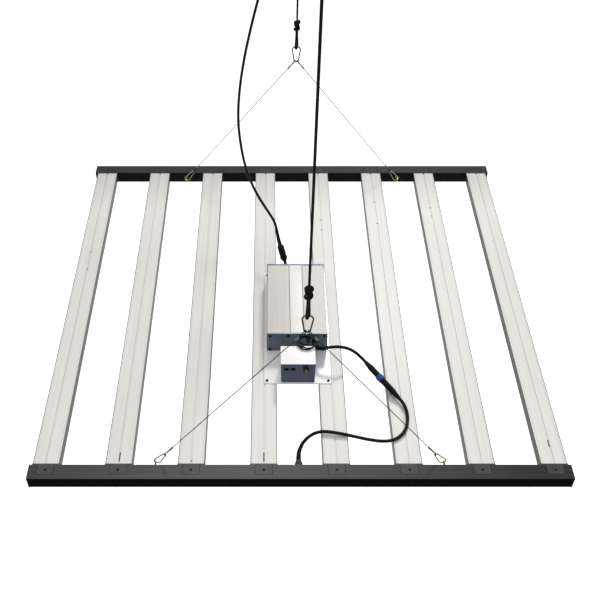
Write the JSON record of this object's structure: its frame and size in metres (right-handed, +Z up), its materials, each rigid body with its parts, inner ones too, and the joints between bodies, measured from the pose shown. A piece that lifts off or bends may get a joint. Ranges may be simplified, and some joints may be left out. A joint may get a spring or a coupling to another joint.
{
  "type": "led grow light",
  "caption": "Hanging LED grow light: slim aluminium light bars across two black rails, with a driver and a dimmer box on a centre plate, hung on wires, hooks and ropes.",
  "frame": {"origin": "midpoint between the bearing points of the two ceiling carabiners, where the light hangs from the ceiling", "axes": "+Z up, +X along the rails to the right seen from the front, +Y from the front rail to the rear rail"},
  "size_m": [1.165, 1.106, 1.2112],
  "materials": {
    "rail_black": "satin black anodised aluminium",
    "black_plastic": "fine grain",
    "bar_silver": "satin anodised",
    "bracket_black": "satin",
    "board_white": "white solder mask with diodes",
    "screw_black": "black oxide",
    "rivet_steel": "plain",
    "plate_white": "gloss powder coat",
    "driver_grey": "satin, fine ribs",
    "slate": "satin slate",
    "board_green": "circuit board",
    "shell_white": "satin",
    "panel_slate": "satin slate blue",
    "jack_black": "plain",
    "knob_black": "fluted",
    "cable_black": "smooth, slightly glossy",
    "connector_black": "moulded",
    "ring_blue": "fluted",
    "gland_nylon": "moulded nylon and nickel",
    "rope_black": "braided",
    "hook_black": "black coated steel",
    "hook_steel": "zinc plated",
    "eye_brass": "yellow zinc",
    "wire_steel": "stranded",
    "ferrule_grey": "crimped",
    "tie_black": "hook and loop strap"
  },
  "bodies": {
    "fixture": {"front_rail": "rail_black", "rear_rail": "rail_black", "rail_end_plugs": "black_plastic", "bar_1": "bar_silver", "bar_2": "bar_silver", "bar_3": "bar_silver", "bar_4": "bar_silver", "bar_5": "bar_silver", "bar_6": "bar_silver", "bar_7": "bar_silver", "bar_8": "bar_silver", "led_boards": "board_white", "bar_brackets": "bracket_black", "bracket_screws": "screw_black", "bar_rivets": "rivet_steel", "rail_harness": "cable_black", "eye_bolts": "eye_brass", "snap_hooks": "hook_steel", "front_left_wire": "wire_steel", "front_right_wire": "wire_steel", "rear_left_wire": "wire_steel", "rear_right_wire": "wire_steel", "carabiners": "hook_black", "front_rope": "rope_black", "rear_rope": "rope_black", "rope_ends": "rope_black", "wire_loops": "wire_steel", "wire_ferrules": "ferrule_grey", "mounting_plate": "plate_white", "deck_screws": "screw_black", "driver_case": "driver_grey", "driver_front_plate": "slate", "driver_rear_plate": "slate", "driver_screws": "screw_black", "driver_board": "board_green", "controller_shell": "shell_white", "controller_panel": "panel_slate", "rj_jacks": "jack_black", "controller_board": "board_green", "cable_glands": "gland_nylon", "output_cable": "cable_black", "output_connector": "connector_black", "power_connector": "connector_black", "power_cord": "cable_black", "power_coil": "cable_black", "coil_tie": "tie_black", "mains_plug": "connector_black", "dimming_lead": "cable_black", "dimming_coil": "cable_black"},
    "front_left_gate": {"front_left_gate": "hook_steel"},
    "front_right_gate": {"front_right_gate": "hook_steel"},
    "rear_left_gate": {"rear_left_gate": "hook_steel"},
    "rear_right_gate": {"rear_right_gate": "hook_steel"},
    "front_carabiner_gate": {"front_carabiner_gate": "hook_black"},
    "front_ceiling_gate": {"front_ceiling_gate": "hook_black"},
    "rear_carabiner_gate": {"rear_carabiner_gate": "hook_black"},
    "rear_ceiling_gate": {"rear_ceiling_gate": "hook_black"},
    "dimmer_knob": {"dimmer_knob": "knob_black"},
    "output_ring": {"output_ring": "ring_blue"},
    "power_ring": {"power_ring": "connector_black"}
  },
  "joints": [
    {"name": "front_left_gate_hinge", "type": "hinge", "parent": "fixture", "child": "front_left_gate", "pos_m": [-0.30185, -0.50083, -1.16155], "axis": [0, -0.9993, 0.0365], "range_deg": [0, 22], "stiffness_Nm_per_rad": 0.006, "springref_deg": -20.05},
    {"name": "front_right_gate_hinge", "type": "hinge", "parent": "fixture", "child": "front_right_gate", "pos_m": [0.29322, -0.50082, -1.16133], "axis": [0, 0.9993, -0.0365], "range_deg": [0, 22], "stiffness_Nm_per_rad": 0.006, "springref_deg": -20.05},
    {"name": "rear_left_gate_hinge", "type": "hinge", "parent": "fixture", "child": "rear_left_gate", "pos_m": [-0.30185, 0.50083, -1.16155], "axis": [0, -0.9993, -0.0365], "range_deg": [0, 22], "stiffness_Nm_per_rad": 0.006, "springref_deg": -20.05},
    {"name": "rear_right_gate_hinge", "type": "hinge", "parent": "fixture", "child": "rear_right_gate", "pos_m": [0.29322, 0.50082, -1.16133], "axis": [0, 0.9993, 0.0365], "range_deg": [0, 22], "stiffness_Nm_per_rad": 0.006, "springref_deg": -20.05},
    {"name": "front_carabiner_hinge", "type": "hinge", "parent": "fixture", "child": "front_carabiner_gate", "pos_m": [-0.00651, -0.487, -0.78087], "axis": [0, 1, 0], "range_deg": [0, 22], "stiffness_Nm_per_rad": 0.02, "springref_deg": -20.05},
    {"name": "front_ceiling_hinge", "type": "hinge", "parent": "fixture", "child": "front_ceiling_gate", "pos_m": [-0.00651, -0.487, -0.03462], "axis": [0, 1, 0], "range_deg": [0, 22], "stiffness_Nm_per_rad": 0.02, "springref_deg": -20.05},
    {"name": "rear_carabiner_hinge", "type": "hinge", "parent": "fixture", "child": "rear_carabiner_gate", "pos_m": [-0.00651, 0.487, -0.78087], "axis": [0, 1, 0], "range_deg": [0, 22], "stiffness_Nm_per_rad": 0.02, "springref_deg": -20.05},
    {"name": "rear_ceiling_hinge", "type": "hinge", "parent": "fixture", "child": "rear_ceiling_gate", "pos_m": [-0.00651, 0.487, -0.03462], "axis": [0, 1, 0], "range_deg": [0, 22], "stiffness_Nm_per_rad": 0.02, "springref_deg": -20.05},
    {"name": "dimmer_turn", "type": "hinge", "parent": "fixture", "child": "dimmer_knob", "pos_m": [0.0135, -0.295, -1.1276], "axis": [0, -1, 0], "range_deg": [-135, 135]},
    {"name": "output_ring_turn", "type": "hinge", "parent": "fixture", "child": "output_ring", "pos_m": [0.18661, -0.28977, -1.15819], "axis": [0.5761, -0.8106, -0.1054], "range_deg": [0, 90]},
    {"name": "power_ring_turn", "type": "hinge", "parent": "fixture", "child": "power_ring", "pos_m": [-0.03741, 0.1034, -1.11932], "axis": [-0.2803, 0.6401, 0.7154], "range_deg": [0, 90]}
  ]
}
